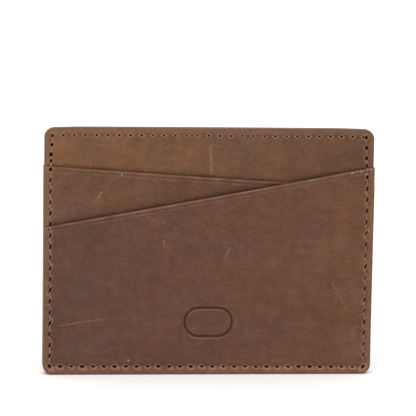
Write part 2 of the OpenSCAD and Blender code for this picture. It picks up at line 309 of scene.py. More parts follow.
class Sheet:
    """One cut sheet of a half."""

    def __init__(self, kind, half, depth, mouth=None, cover=None):
        self.node = ("front_" if half == FRONT else "back_") + kind
        self.name = self.node + ("_cloth" if kind == "lining" else "_leather")
        self.kind, self.half, self.mouth, self.cover = kind, half, mouth, cover
        self.inner_d, self.outer_d = depth
        self.hole_depth = self.outer_d - self.inner_d - HOLE_FLOOR
        holes = np.empty((0, 5)) if kind == "lining" else seam_pricks(half)
        if kind == "body_panel":
            holes = np.concatenate([holes, top_pricks()])
        x, z = holes.T[:2]
        self.pricks = holes[(z > self.covered_below(x) - 0.3) & (z < self.top(x) + 0.3)]

    def top(self, x):
        """Height of the sheet's upper edge."""
        return mouth_z(self.mouth, x) if self.mouth else LEATHER_TOP + 0 * x

    def covered_below(self, x):
        """Height below which other pockets hide the sheet."""
        if not self.cover:
            return -1 + 0 * x
        return np.max([mouth_z(mouth, x) for mouth in self.cover], axis=0)

    def row_distance(self, x, z):
        """Distance from the nearest row of stitches through the sheet."""
        if self.kind != "body_panel":
            return seam_distance(x, z)
        return np.minimum(seam_distance(x, z), top_row_distance(x, z))

    def lift(self, x, z):
        """What bends the whole sheet, both faces alike."""
        total = shared_lift(x, z, self.half)
        if self.kind in ("body_panel", "lining"):
            total += quilt(top_row_distance(x, z))
        if self.mouth:
            below = np.maximum(self.top(x) - z, 0)
            free = 1 - np.clip(abs(x) / SEAM_X, 0, 1) ** 4
            bare = smooth(self.top(x) - self.covered_below(x), 0, 2)
            total += FLARE * free * bare * np.exp(-below / FLARE_REACH)
        if self.kind == "lower_pocket":
            total -= sink(x, z)
        return total

    def bare(self, x, z):
        """1 where the sheet shows and 0 where a pocket hides it."""
        return smooth(z - self.covered_below(x), -0.8, 0)

    def outer(self, x, z):
        """Depth of the grain side."""
        bare, rings = self.bare(x, z), prick_rings(x, z, self.pricks)
        pit = self.hole_depth * (1 - smooth(rings, 0.35, 1.2)) - PUFF * hump(rings - 1.8, 0.6)
        total = self.outer_d + self.lift(x, z) - SET_BACK * (1 - bare)
        total -= bare * pit
        if self.mouth:
            crease = hump(self.top(x) - z - CREASE_DROP, 0.16)
            total -= bare * CREASE_DEPTH * crease
        if self.node == "front_lower_pocket":
            away = abs(stamp_distance(x, z))
            line = 1 - smooth(away, STAMP_LINE * 0.25, STAMP_LINE * 0.65)
            rim = hump(away - STAMP_LINE * 0.9, 0.3)
            total += STAMP_RIM * rim - STAMP_DEPTH * line
        return total

    def shade(self, x, z):
        """Painted shade on the grain, from 0 to 1; on the pressed line partly its own colour.
        """
        rings = prick_rings(x, z, self.pricks)
        channel = hump(self.row_distance(x, z), 0.5)
        # Painted shade in the needle holes and along the stitched rows' channels
        total = 0.97 * (1 - smooth(rings, 0.75, 1.3)) + 0.12 * channel
        # Painted shade on the sheet just above where a covering pocket's mouth lies on it
        above = z - self.covered_below(x)
        within = smooth(SEAM_X - abs(x), -0.6, 0.6)
        depth, reach = (0.66, 0.85) if self.kind == "upper_pocket" else (0.54, 0.42)
        total += depth * within * np.exp(-np.maximum(above, 0) / reach) * (above > -1)
        if self.mouth:
            # Painted shade in the creased line below the mouth
            uneven = 1 + 0.5 * waves(x, 0 * x, 7, 5, 20)
            total += 0.13 * uneven * hump(self.top(x) - z - CREASE_DROP, 0.17)
        if self.node == "front_lower_pocket":
            line = abs(stamp_distance(x, z))
            # Darker along the pressed line: partly the pressed leather's own colour, partly
            # painted shade
            total += 0.6 * (1 - smooth(line, STAMP_LINE * 0.3, STAMP_LINE * 0.56))
        return np.clip(total, 0, 1)

    def wear(self, x, z):
        """How much paler the grain is, from 0 to 1, from rubbing and from painted highlights.
        """
        outside = (abs(x) > SEAM_X) | (z < SEAM_BOTTOM_Z)
        if self.kind == "body_panel":
            outside = outside | (z > TOP_ROW_Z)
        beside = outside * smooth(self.row_distance(x, z), 0.3, 0.9)
        total = (0.3 if self.mouth else 0.15) * beside
        rings = prick_rings(x, z, self.pricks)
        if self.kind == "body_panel":
            total += 0.45 * hump(rings - 1.65, 0.4)
        else:
            uneven = 1 + 0.5 * waves(x, z, 5, 3, 9)
            total += 0.7 * uneven * hump(rings - 1.95, 0.45)
            total += 0.85 * uneven * (z < SEAM_BOTTOM_Z) * hump(rings - 2.5, 0.7)
        if self.mouth:
            below = np.maximum(self.top(x) - z, 0)
            uneven = 1 + 0.5 * waves(x, 0 * x, 11, 4, 18)
            pale = 0.42 if self.kind == "upper_pocket" else 0.6
            # Paler along the mouth's lip: partly rubbed wear, partly painted highlight
            total += pale * uneven * hump(below - 0.36, 0.2)
            # Painted highlight on the lower edge of the creased line
            total += 0.25 * uneven * hump(below - CREASE_DROP - 0.35, 0.18)
        if self.node == "front_lower_pocket":
            total += 0.8 * hump(x - RUBBED_X, 3) * hump(below, 0.35)
            # Painted highlight along the lower side of the pressed line
            lit = hump(abs(stamp_distance(x, z + STAMP_LINE * 0.75)), 0.22)
            total += 0.4 * lit * smooth(abs(stamp_distance(x, z)), 0.3, 0.45)
        return np.clip(total, 0, 1)

    def flecks(self, x, z):
        """How pale the grain is at its specks and round its needle holes, from 0 to 1."""
        rings = prick_rings(x, z, self.pricks)
        row = top_row_distance(x, z) < 0.9 if self.kind == "body_panel" else False
        total = np.where(row, 0.1, 0.0) * hump(rings - 1.7, 0.4)
        if self.mouth and self.half == FRONT:
            for fleck_x, fleck_z in FLECKS:
                total += 0.5 * hump(np.hypot(x - fleck_x, z - fleck_z), 0.19)
        return total

    def cell_size(self, x, z):
        """How small the mesh's cells are at a place."""
        def beyond(distance, reach, cell, growth=0.3):
            return cell + growth * np.maximum(distance - reach, 0)

        fine = [beyond(edge_distance(x, z), 0.4, 0.27)]
        fine.append(beyond(self.row_distance(x, z), 0.8, 0.3))
        if self.mouth:
            fine.append(beyond(self.top(x) - z, 1.6, 0.27))
        if self.node == "front_lower_pocket":
            fine.append(beyond(abs(stamp_distance(x, z)), 1.1, 0.2))
        fine.append(beyond(prick_rings(x, z, self.pricks), 1.6, 0.13, 0.12))
        fine.append(np.where(self.flecks(x, z) > 0.2, 0.13, ROOT_CELL))
        bare = z > self.covered_below(x) - 1.2
        return np.where(bare, np.minimum(BARE_CELL, np.min(fine, axis=0)), ROOT_CELL)

    def place(self, u, v, inset):
        """x and z of a point of the unit square on the outline, moved in by inset."""
        side = SIDE - inset
        bottom = LEATHER_BOTTOM + inset
        x = side * (2 * u - 1)
        z = bottom + (self.top(x) - inset - bottom) * v
        radius = CORNER_R - inset
        x, z = round_corner(x, z, side - radius, bottom + radius, radius, -1)
        if not self.mouth:
            x, z = round_corner(x, z, side - radius, LEATHER_TOP - inset - radius, radius, 1)
        return x, z


def sink(x, z):
    """How far a lower pocket sinks where no upper pocket is left behind it."""
    over = smooth(z - mouth_z(UPPER_MOUTH, x), -0.3, 2.4)
    return SINK * smooth(x, 30, SEAM_X) * over


def round_corner(x, z, corner_x, corner_z, radius, way):
    """Bends both square corners that lie beyond corner_z, upwards or downwards."""
    a = (abs(x) - corner_x) / radius
    b = way * (z - corner_z) / radius
    inside = (a > 0) & (b > 0)
    round_x = corner_x + radius * a * np.sqrt(np.maximum(1 - b * b / 2, 0))
    round_z = corner_z + way * radius * b * np.sqrt(np.maximum(1 - a * a / 2, 0))
    return np.where(inside, np.sign(x) * round_x, x), np.where(inside, round_z, z)


# ---- a mesh whose cells are small only where the detail is ----

ROOT_CELL = 4.2  # size of the coarsest cell
BARE_CELL = 1.1  # size of the coarsest cell that shows
LEVELS = 5  # times that a root cell may be halved


def halved(cells, how):
    """One cell for each block of two by two."""
    rows, columns = cells.shape
    return how(cells.reshape(rows // 2, 2, columns // 2, 2), axis=(1, 3))


def grown(cells):
    """Cells with their eight neighbours."""
    rows, columns = cells.shape
    padded = np.pad(cells, 1)
    shifted = [padded[i:i + rows, j:j + columns] for i in range(3) for j in range(3)]
    return np.any(shifted, axis=0)


def split_levels(wanted):
    """For each level, which cells are halved again; neighbours differ by one level."""
    splits = []
    for level in range(LEVELS - 1, -1, -1):
        wanted = halved(wanted, np.max)
        split = wanted > level
        if splits:
            split |= halved(grown(splits[0]), np.any)
        splits.insert(0, split)
    return splits


def cells_of(splits):
    """Left, bottom and size of every cell, in steps of the finest cell."""
    cells, present = [], np.ones_like(splits[0])
    for level in range(LEVELS + 1):
        size = 2 ** (LEVELS - level)
        split = splits[level] if level < LEVELS else np.zeros_like(present)
        row, column = np.nonzero(present & ~split)
        cells.append(np.stack([column * size, row * size, np.full(len(row), size)], 1))
        if level < LEVELS:
            present = (present & split).repeat(2, axis=0).repeat(2, axis=1)
    return np.concatenate(cells)


class Lattice:
    """Quads over the unit square, with fans of triangles where cell sizes meet."""

    def __init__(self, splits):
        cells = cells_of(splits)
        rows, columns = (n * 2 ** LEVELS for n in splits[0].shape)
        used = np.zeros((rows + 1, columns + 1), bool)
        x, z, size = cells.T
        for dx, dz in ((0, 0), (1, 0), (1, 1), (0, 1)):
            used[z + dz * size, x + dx * size] = True
        numbers = np.where(used, np.cumsum(used).reshape(used.shape) - 1, -1)
        around = []
        for dx, dz in ((0, 0), (1, 0), (2, 0), (2, 1), (2, 2), (1, 2), (0, 2), (0, 1)):
            number = numbers[z + dz * size // 2, x + dx * size // 2]
            middle = dx == 1 or dz == 1
            around.append(np.where(middle & (size == 1), -1, number))
        around = np.stack(around, 1)
        plain = (around[:, 1::2] < 0).all(1)
        self.faces = around[plain][:, 0::2].tolist()
        places = np.argwhere(used)[:, ::-1].astype(float)
        centres = (cells[~plain, :2] + cells[~plain, 2:] / 2).astype(float)
        for number, ring in enumerate(around[~plain], start=len(places)):
            ring = ring[ring >= 0].tolist()
            self.faces += [[a, b, number] for a, b in zip(ring, ring[1:] + ring[:1])]
        self.uv = np.concatenate([places, centres]) / (columns, rows)
        sides = numbers[0], numbers[1:, -1], numbers[-1, -2::-1], numbers[-2:0:-1, 0]
        rim = np.concatenate(sides)
        self.rim = rim[rim >= 0]


def rim_levels(splits):
    """Levels that leave the cells along the border as they are and the rest coarse."""
    cells = cells_of(splits)
    rows, columns = (n * 2 ** LEVELS for n in splits[0].shape)
    wanted = np.zeros((rows, columns), int)
    x, z, size = cells.T
    border = (x == 0) | (z == 0) | (x + size == columns) | (z + size == rows)
    for left, bottom, width in cells[border]:
        wanted[bottom:bottom + width, left:left + width] = LEVELS - int(math.log2(width))
    return wanted


def sheet_lattices(sheet):
    """The grain side's lattice, and a coarse one for the flesh side with the same border."""
    columns = math.ceil(2 * SIDE / ROOT_CELL)
    rows = math.ceil((max(sheet.top(np.array([-SIDE, SIDE]))) - LEATHER_BOTTOM) / ROOT_CELL)
    steps = 2 ** LEVELS
    v, u = np.mgrid[0:rows * steps, 0:columns * steps] + 0.5
    x, z = sheet.place(u / (columns * steps), v / (rows * steps), EDGE_R)
    levels = np.ceil(np.log2(ROOT_CELL / sheet.cell_size(x, z)) - 0.3)
    splits = split_levels(np.clip(levels, 0, LEVELS).astype(int))
    return Lattice(splits), Lattice(split_levels(rim_levels(splits)))


def swell(x, z):
    """How far the sides stand out below the mouths, where the layers pile up."""
    below = UPPER_MOUTH[0] - z
    piled = smooth(below, -0.25, 0.25) * np.exp(-np.maximum(below, 0) / 25)
    return np.sign(x) * (SWELL * piled - NARROWED) * smooth(abs(x), 40, SIDE)


def droop(x, z):
    """How far the top corners have worn down."""
    return TOP_WORN * smooth(abs(x), 38, SIDE) * smooth(z, 66, LEATHER_TOP)


def world(points, half):
    """From a half's x, z and d in millimetres to the frame's metres."""
    x, z, d = np.asarray(points, float).T
    x, z = x + swell(x, z), z - droop(x, z)
    return np.stack([half * x, -half * d, z], 1) * MM


def new_object(name, points, faces, half, material, **shades):
    """A smooth mesh object with a float attribute for each of shades."""
    mesh = bpy.data.meshes.new(name)
    mesh.from_pydata(world(points, half).tolist(), [], faces)
    for key, values in shades.items():
        mesh.attributes.new(key, "FLOAT", "POINT").data.foreach_set("value", values)
    mesh.materials.append(material)
    mesh.shade_smooth()
    mesh.validate()
    made = bpy.data.objects.new(name, mesh)
    bpy.context.scene.collection.objects.link(made)
    return made


def strip(first, second):
    """Quads between two closed loops of vertices of the same length."""
    return np.stack([first, np.roll(first, -1), np.roll(second, -1), second], 1).tolist()


def sheet_object(sheet, material):
    """A closed sheet: grain side, rounded cut edge and flesh side."""
    grain, flesh = sheet_lattices(sheet)
    x, z = sheet.place(*grain.uv.T, EDGE_R)
    d = sheet.outer(x, z)
    parts, faces = [(x, z, d)], list(grain.faces)
    loop, count = grain.rim, len(x)
    edge_u, edge_v = grain.uv[grain.rim].T
    turns = np.radians([30, 60, 90])
    profile = [(EDGE_R * (1 - np.sin(t)), EDGE_R * (1 - np.cos(t)), 0) for t in turns]
    profile += [(0, 0, FLESH_R), (0.3 * FLESH_R, 0, 0.3 * FLESH_R)]
    for inset, drop, rise in profile:
        x, z = sheet.place(edge_u, edge_v, inset)
        if rise:
            d = sheet.inner_d + sheet.lift(x, z) + rise
        else:
            d = sheet.outer(x, z) - drop
        following = count + np.arange(len(loop))
        faces += strip(following, loop)
        parts.append((x, z, d))
        loop, count = following, count + len(x)
    x, z = sheet.place(*flesh.uv.T, FLESH_R)
    faces += strip(flesh.rim + count, loop)
    faces += [[n + count for n in reversed(face)] for face in flesh.faces]
    parts.append((x, z, sheet.inner_d + sheet.lift(x, z)))
    x, z, d = np.concatenate(parts, axis=1)
    order = np.arange(len(x))
    on_grain = order < len(grain.uv)
    cut = (~on_grain & (order < count)).astype(float)
    painted = (sheet.shade, sheet.wear, sheet.flecks)
    shade, wear, fleck = (how(x, z) * on_grain for how in painted)
    return new_object(
        sheet.name, np.stack([x, z, d], 1), faces, sheet.half, material,
        shade=shade, wear=wear, fleck=fleck, cut=cut,
    )


# ---- thread ----

PLY_SIDES = 10
PLY_BULGE = 0.22  # how far the two plies stand out, as a part of the radius
TURNS_PER_MM = 1.7
STITCH_STEPS = 16
DIVE = 0.6  # how far a stitch's ends go into the needle holes

# The thread's radius; sit, the height of its middle above the leather; clear, how far from
# a hole's middle it is still down; then how dark its middle is, which is painted shade where
# it sinks, and how pale its ends are, which is a painted highlight where they rise from the
# holes
Stitches = collections.namedtuple("Stitches", "radius sit clear dim pale")
TOP_STITCHES = Stitches(radius=0.17, sit=-0.08, clear=0.28, dim=0.25, pale=0.9)
BOTTOM_STITCHES = Stitches(radius=0.18, sit=-0.08, clear=0.34, dim=0.36, pale=0.6)
SIDE_STITCHES = Stitches(radius=0.2, sit=-0.03, clear=0.5, dim=0.08, pale=0.25)
TACK_STITCHES = Stitches(radius=0.3, sit=-0.02, clear=0.5, dim=0.2, pale=0.1)


def taut(t, d):
    """Pulls a line tight over whatever it crosses: the upper hull of d over t."""
    hull = []
    for point in zip(t, d):
        while len(hull) > 1:
            (t0, d0), (t1, d1) = hull[-2:]
            if (d1 - d0) * (point[0] - t0) > (point[1] - d0) * (t1 - t0):
                break
            hull.pop()
        hull.append(point)
    return np.interp(t, *zip(*hull))


def stitch_path(start, end, surface, how):
    """Points of one stitch as x, z and d, how deep each dives and how near its hole it is."""
    t = np.linspace(0, 1, STITCH_STEPS)
    t = t - 0.07 * np.sin(2 * np.pi * t)
    x, z = (a + (b - a) * t for a, b in zip(start, end))
    lying = taut(t, surface(x, z)) + how.sit
    length = math.dist(start, end)
    from_hole = np.minimum(t, 1 - t) * length
    down = 1 - smooth(from_hole, how.clear, how.clear + 0.42)
    near = hump(from_hole - how.clear - 0.38, 0.27)
    return np.stack([x, z, lying - (DIVE + how.radius) * down], 1), down, near


def twisted_tube(path, radius, turns):
    """Vertices and faces of a two-ply thread along one open path."""
    along = np.gradient(path, axis=0)
    along /= np.linalg.norm(along, axis=1, keepdims=True)
    side = np.cross(along, [0, 0, 1.0]) + 1e-9
    side /= np.linalg.norm(side, axis=1, keepdims=True)
    up = np.cross(side, along)
    angle = np.linspace(0, 2 * np.pi, PLY_SIDES, endpoint=False)
    steps = np.arange(len(path))[:, None] / (len(path) - 1)
    size = radius * (1 + PLY_BULGE * np.cos(2 * (angle - turns * np.pi * steps)))
    ring = side[:, None] * (size * np.cos(angle))[..., None]
    ring = ring + up[:, None] * (size * np.sin(angle))[..., None]
    points = (path[:, None] + ring).reshape(-1, 3)
    numbers = np.arange(len(points)).reshape(len(path), PLY_SIDES)
    faces = [face for a, b in zip(numbers, numbers[1:]) for face in strip(b, a)]
    faces += [numbers[0].tolist(), numbers[-1][::-1].tolist()]
    return points, faces


def thread_object(name, runs, half, surface, material):
    """Stitches through each run of (holes, kind of stitches), joined into one thread."""
    points, faces, shade, pale, count = [], [], [], [], 0
    for holes, how in runs:
        for start, end in zip(holes, holes[1:]):
            path, down, near = stitch_path(start, end, surface, how)
            turns = max(3, round(math.dist(start, end) * TURNS_PER_MM))
            more, more_faces = twisted_tube(path, how.radius, turns)
            points.append(more)
            # Painted shade where the stitch dives into its holes and on its sunken middle;
            # painted highlight at its ends
            dim = how.dim * (1 - near)
            shade.append(np.repeat(np.maximum(smooth(down, 0.1, 0.7), dim), PLY_SIDES))
            pale.append(np.repeat(how.pale * near, PLY_SIDES))
            faces += [[n + count for n in face] for face in more_faces]
            count += len(more)
    return new_object(
        name, np.concatenate(points), faces, half, material,
        shade=np.concatenate(shade), pale=np.concatenate(pale),
    )


def seam_runs(half):
    """The seam's holes in order: the bottom, then each side with its back-tack."""
    holes = seam_pricks(half)[:, :2]
    low = holes[:, 1] < SEAM_BOTTOM_Z + 1
    bottom = holes[low]
    runs = [(bottom.tolist(), BOTTOM_STITCHES)]
    for side, corner in ((-1, bottom[0]), (1, bottom[-1])):
        column = holes[~low & (holes[:, 0] * half * side > 0)].tolist()
        column = [corner.tolist()] + column
        runs += [(column[:-TACKS + 1], SIDE_STITCHES), (column[-TACKS:], TACK_STITCHES)]
    return runs


# ---- paint on the cut edges ----

LIP = 0.12  # how far the paint laps onto the grain
COAT_ROUNDING = 0.45  # over which the paint's section rounds at each face
LAYER_LINE = 0.05  # depth of the line that shows where two layers meet
HALF_TAPE = 0.05
SECTION_STEPS = 44


def outline_path(spacing, top_z):
    """Points and normals of the leather's outline from the top left, down and back up."""
    side, bottom = SIDE - CORNER_R, LEATHER_BOTTOM + CORNER_R
    upright, bend = top_z - bottom, np.pi / 2 * CORNER_R
    ends = np.cumsum([0, upright, bend, 2 * side, bend, upright])
    s = np.arange(0, ends[-1], spacing)
    near = np.linspace(-0.3, 0.3, 9)
    for height in (*UPPER_MOUTH, *LOWER_MOUTH):
        down = top_z - height
        s = np.concatenate([s, down + near, ends[-1] - down + near])
    bends = [ends[k] + np.linspace(0, bend, 14) for k in (1, 3)]
    s = np.unique(np.round(np.concatenate([s, *bends, [ends[-1]]]), 3))
    part = np.clip(np.searchsorted(ends, s, side="right") - 1, 0, 4)
    along = s - ends[part]
    sine, cosine = np.sin(along / CORNER_R), np.cos(along / CORNER_R)
    # Each list is the left side, its bend, the bottom, the right bend and the right side
    nx = np.choose(part, [-1.0, -cosine, 0, sine, 1])
    nz = np.choose(part, [0.0, -sine, -1, -cosine, 0])
    centre_x = np.choose(part, [-side, -side, along - side, side, side])
    centre_z = np.choose(part, [top_z - along, bottom, bottom, bottom, bottom + along])
    return centre_x + CORNER_R * nx, centre_z + CORNER_R * nz, nx, nz


def outer_edge_d(x, z):
    """Depth of the outermost layer at the edge of one half, with steps at the mouths."""
    lower = smooth(mouth_z(LOWER_MOUTH, x) - z, -0.08, 0.08)
    upper = smooth(mouth_z(UPPER_MOUTH, x) - z, -0.08, 0.08)
    with_upper = BODY_D[1] + (UPPER_D[1] - BODY_D[1]) * upper
    return with_upper + (LOWER_D[1] - sink(x, z) - with_upper) * lower


def coat_section(front, back, grooves):
    """Outwards distance and depth round the paint's section, for each point of a path."""
    t = np.linspace(0, 1, SECTION_STEPS)[None]
    front, back = front[:, None], back[:, None]
    depth = front + (back - front) * t
    from_end = np.minimum(front - depth, depth - back)
    bulge = COAT_T * (1 - (1 - np.clip(from_end / COAT_ROUNDING, 0, 1)) ** 2) ** 0.5
    for groove in grooves:
        bulge = bulge - LAYER_LINE * hump(depth - groove, 0.07) * (from_end > 0.3)
    # A lip starts just inside the grain and rises over it
    lip_n = -LIP * np.array([[1, 0.75, 0.4]]) + 0 * front
    lip_d = np.array([[-0.02, 0.035, 0.03]])
    under_n = np.array([[-0.05, -0.05]]) + 0 * front
    n = np.concatenate([lip_n, bulge, lip_n[:, ::-1], under_n], 1)
    ends = [(back - lip_d)[:, ::-1], back + 0.3, front - 0.3]
    d = np.concatenate([front + lip_d, depth, *ends], 1)
    return n, d


def swept(path, section):
    """A closed band: the section carried along a path, with capped ends."""
    x, z, nx, nz = (part[:, None] for part in path)
    n, d = section
    points = np.stack([x + nx * n, z + nz * n, d], -1).reshape(-1, 3)
    numbers = np.arange(len(points)).reshape(n.shape)
    faces = [face for a, b in zip(numbers, numbers[1:]) for face in strip(a, b)]
    faces += [numbers[0][::-1].tolist(), numbers[-1].tolist()]
    return points, faces


def seam_coat_object(material):
    """The paint over both halves' closed edges."""
    path = outline_path(1.2, COAT_TOP_Z)
    x, z = path[:2]
    drawn = quilt(SEAM_X - SIDE)
    meeting = (BODY_D[0], BODY_D[1] + HALF_TAPE, UPPER_D[1] + HALF_TAPE)
    grooves = [0] + [way * depth for depth in meeting for way in (1, -1)]
    section = coat_section(outer_edge_d(x, z) + drawn, -outer_edge_d(-x, z) - drawn, grooves)
    points, faces = swept(path, section)
    return new_object("seam_edge_paint", points, faces, FRONT, material)


def top_coat_object(name, half, sheet, material):
    """The paint along one half's top edge, round both corners."""
    turn = np.linspace(0, np.pi / 2, 12)[:-1]
    straight = np.linspace(CORNER_R - SIDE, SIDE - CORNER_R, 80)
    nx = np.concatenate([-np.cos(turn), 0 * straight, np.sin(turn[1:]), [1]])
    nz = np.concatenate([np.sin(turn), 1 + 0 * straight, np.cos(turn[1:]), [0]])
    centre_x = np.concatenate([straight[0] + 0 * turn, straight, straight[-1] + 0 * turn])
    x, z = centre_x + CORNER_R * nx, LEATHER_TOP - CORNER_R + CORNER_R * nz
    lift = sheet.lift(x, z)
    section = coat_section(BODY_D[1] + lift, LINING_D[0] + lift, (BODY_D[0],))
    points, faces = swept((x, z, nx, nz), section)
    faces = [face[::-1] for face in faces]
    return new_object(name, points, faces, half, material)


# ---- shader nodes ----


def add(tree, kind, inputs, output=0, **settings):
    """One shader node: an input that is a socket is linked, any other is set."""
    made = tree.nodes.new("ShaderNode" + kind)
    for key, value in settings.items():
        setattr(made, key, value)
    for key, value in inputs.items():
        if isinstance(value, bpy.types.NodeSocket):
            tree.links.new(value, made.inputs[key])
        else:
            made.inputs[key].default_value = value
    return made.outputs[output]


def math_node(tree, operation, *values, clamp=False):
    """One calculation on sockets or numbers."""
    return add(tree, "Math", dict(enumerate(values)), operation=operation, use_clamp=clamp)


def mixed(tree, factor, first, second, blend="MIX"):
    """first blended into second by factor."""
    return add(tree, "Mix", {0: factor, 6: first, 7: second}, output=2,
               data_type="RGBA", blend_type=blend)


def noise(tree, vector, size, detail=2, roughness=0.5):
    """Noise from 0 to 1 with lumps of about size millimetres."""
    inputs = {"Vector": vector, "Scale": 1 / (size * MM), "Detail": detail}
    inputs["Roughness"] = roughness
    return add(tree, "TexNoise", inputs)


def spread(tree, value, low, high, to_low=0.0, to_high=1.0):
    """value from low to high, as to_low to to_high."""
    return add(tree, "MapRange", {0: value, 1: low, 2: high, 3: to_low, 4: to_high},
               interpolation_type="SMOOTHSTEP")


def attribute(tree, name):
    """A value that the mesh carries at each vertex."""
    return add(tree, "Attribute", {}, output=2, attribute_name=name)


def stretched(tree, vector, scale, turn=0.0):
    """Coordinates turned about Y and scaled."""
    return add(tree, "Mapping", {0: vector, 2: (0, turn, 0), 3: scale}, vector_type="POINT")


def axes(tree, vector):
    """The three coordinates of a vector."""
    return add(tree, "SeparateXYZ", {0: vector}).node.outputs


def srgb(red, green, blue):
    """A colour given as 0 to 255, as the shader wants it."""
    def linear(part):
        part /= 255
        return part / 12.92 if part <= 0.04045 else ((part + 0.055) / 1.055) ** 2.4
    return (linear(red), linear(green), linear(blue), 1)


CUT_EDGE = srgb(106, 73, 54)
FLECK = srgb(222, 208, 196)
# Painted highlight on the thread's ends
THREAD_HIGHLIGHT = srgb(190, 164, 142)
# These multiply another colour
# the first tints the painted shade in holes, creases, channels and under mouths
HOLLOW_SHADE = (0.15, 0.03, 0.012, 1)
COOLER = (0.85, 1.0, 1.2, 1)
WARMER = (1.17, 1.0, 0.8, 1)


def new_material(name):
    """A material with its node tree and the coordinates in metres."""
    material = bpy.data.materials.new(name)
    material.use_nodes = True
    tree = material.node_tree
    return material, tree, add(tree, "TexCoord", {}, output=3)


def coated(material, colour, roughness, specular, layers):
    """Gives a material its colour, its gloss and its bump, which comes from (height,
    strength, distance in millimetres) layers.
    """
    tree = material.node_tree
    shader = tree.nodes["Principled BSDF"]
    tree.links.new(colour, shader.inputs["Base Color"])
    if isinstance(roughness, bpy.types.NodeSocket):
        tree.links.new(roughness, shader.inputs["Roughness"])
    else:
        shader.inputs["Roughness"].default_value = roughness
    shader.inputs["Specular IOR Level"].default_value = specular
    normal = None
    for height, strength, distance in layers:
        inputs = {"Strength": strength, "Distance": distance * MM, "Height": height}
        if normal:
            inputs["Normal"] = normal
        normal = add(tree, "Bump", inputs)
    if normal:
        tree.links.new(normal, shader.inputs["Normal"])
    return material


def scratch(tree, where, x, z, turn, length, width, strength):
    """A faint broken scratch on the front, from 0 to strength, centred on x and z."""
    moved = add(tree, "VectorMath", {0: where, 1: (-x * MM, 0, -z * MM)}, operation="ADD")
    turned = axes(tree, stretched(tree, moved, (1, 1, 1), turn))
    along = spread(tree, math_node(tree, "ABSOLUTE", turned[0]),
                   length * MM / 3, length * MM / 2, 1, 0)
    across = spread(tree, math_node(tree, "ABSOLUTE", turned[2]), 0, width * MM, 1, 0)
    broken = spread(tree, noise(tree, where, 1.2, 3), 0.3, 0.62, 0.35, 1)
    front = math_node(tree, "LESS_THAN", turned[1], 0.0)
    mark = along
    for factor in (across, broken, front, strength):
        mark = math_node(tree, "MULTIPLY", mark, factor)
    return mark


def along_x(tree, where):
    """How far to the right a place is, from -1 to 1."""
    return math_node(tree, "MULTIPLY", axes(tree, where)[0], 1 / (SIDE * MM))


def tinted(tree, where, colour, middle, warmth):
    """Drifts a colour between COOLER at 0 and WARMER at 1, warmth more of it to the right."""
    hue = noise(tree, where, 9, 5, 0.6)
    hue = spread(tree, hue, 0.3, 0.7, middle - 0.17, middle + 0.17)
    hue = math_node(tree, "MULTIPLY_ADD", along_x(tree, where), warmth, hue)
    fine = math_node(tree, "SUBTRACT", noise(tree, where, 1.3, 3, 0.65), 0.5)
    hue = math_node(tree, "MULTIPLY_ADD", fine, 1.4, hue)
    return mixed(tree, 1.0, colour, mixed(tree, hue, COOLER, WARMER), "MULTIPLY")


def with_painted_shade(tree, colour):
    """A colour darkened by the attribute shade to that of a shadowed hollow: painted shade.
    """
    darkened = mixed(tree, 1.0, colour, HOLLOW_SHADE, "MULTIPLY")
    return mixed(tree, attribute(tree, "shade"), colour, darkened)


def leather(name, dark, middle, light, worn, fall=0.0, hue=0.5, warmth=0.0, scratches=()):
    """Waxed grain leather: mottled, finely pebbled and rubbed paler at its edges, with
    painted highlights and painted shade that the mesh carries.

    fall is how much darker it grows from left to right, and hue and warmth are its tint.
    """
    material, tree, where = new_material(name)
    patches = noise(tree, where, 14, 3, 0.6)
    clouds = noise(tree, where, 3.5, 4, 0.65)
    streaks = noise(tree, stretched(tree, where, (0.45, 1, 1.3), 0.35), 2.2, 4, 0.6)
    rubs = noise(tree, stretched(tree, where, (1.5, 1, 0.5), 0.15), 3.0, 3, 0.55)
    grain = noise(tree, where, 0.6, 3, 0.75)
    tone = math_node(tree, "MULTIPLY_ADD", patches, 0.24, 0.132)
    for turn in (0.9, -0.5):
        scuffs = noise(tree, stretched(tree, where, (0.16, 1, 1.5), turn), 0.8, 2)
        tone = math_node(tree, "MULTIPLY_ADD", spread(tree, scuffs, 0.6, 0.78), 0.09, tone)
    for layer, weight in ((clouds, 0.17), (streaks, 0.16), (rubs, 0.1), (grain, 0.5)):
        centred = math_node(tree, "SUBTRACT", layer, 0.5)
        tone = math_node(tree, "MULTIPLY_ADD", centred, weight, tone)
    tone = math_node(tree, "MULTIPLY_ADD", along_x(tree, where), -fall, tone)
    toned = add(tree, "ValToRGB", {0: tone})
    steps = toned.node.color_ramp.elements
    steps[0].color = dark
    steps[1].color = light
    steps[1].position = 0.5
    steps.new(0.25).color = middle
    colour = tinted(tree, where, toned, hue, warmth)
    # Paler where rubbed or scratched, and where a painted highlight lies
    wear = math_node(tree, "MULTIPLY", attribute(tree, "wear"),
                     spread(tree, streaks, 0.3, 0.6, 0.55, 1.0), clamp=True)
    for mark in scratches:
        wear = math_node(tree, "ADD", scratch(tree, where, *mark), wear, clamp=True)
    colour = mixed(tree, wear, colour, worn)
    cut = math_node(tree, "MULTIPLY", attribute(tree, "cut"), 0.75)
    colour = mixed(tree, cut, colour, CUT_EDGE)
    colour = mixed(tree, attribute(tree, "fleck"), colour, FLECK)
    pebbles = add(tree, "TexVoronoi", {"Vector": where, "Scale": 1 / (0.42 * MM)},
                  feature="SMOOTH_F1")
    layers = [(streaks, 0.25, 0.06), (grain, 0.35, 0.05), (pebbles, 0.25, 0.04)]
    rough = spread(tree, clouds, 0.3, 0.7, 0.66, 0.52)
    return coated(material, with_painted_shade(tree, colour), rough, 0.12, layers)


def edge_paint():
    """Satin paint, thin enough for the layers to show as faint lines."""
    material, tree, where = new_material("Edge paint")
    blotches = noise(tree, where, 2.5, 3)
    colour = mixed(tree, blotches, srgb(88, 65, 56), srgb(122, 95, 84))
    rough = spread(tree, blotches, 0.3, 0.7, 0.38, 0.55)
    return coated(material, colour, rough, 0.3, [(noise(tree, where, 0.6, 2), 0.3, 0.04)])


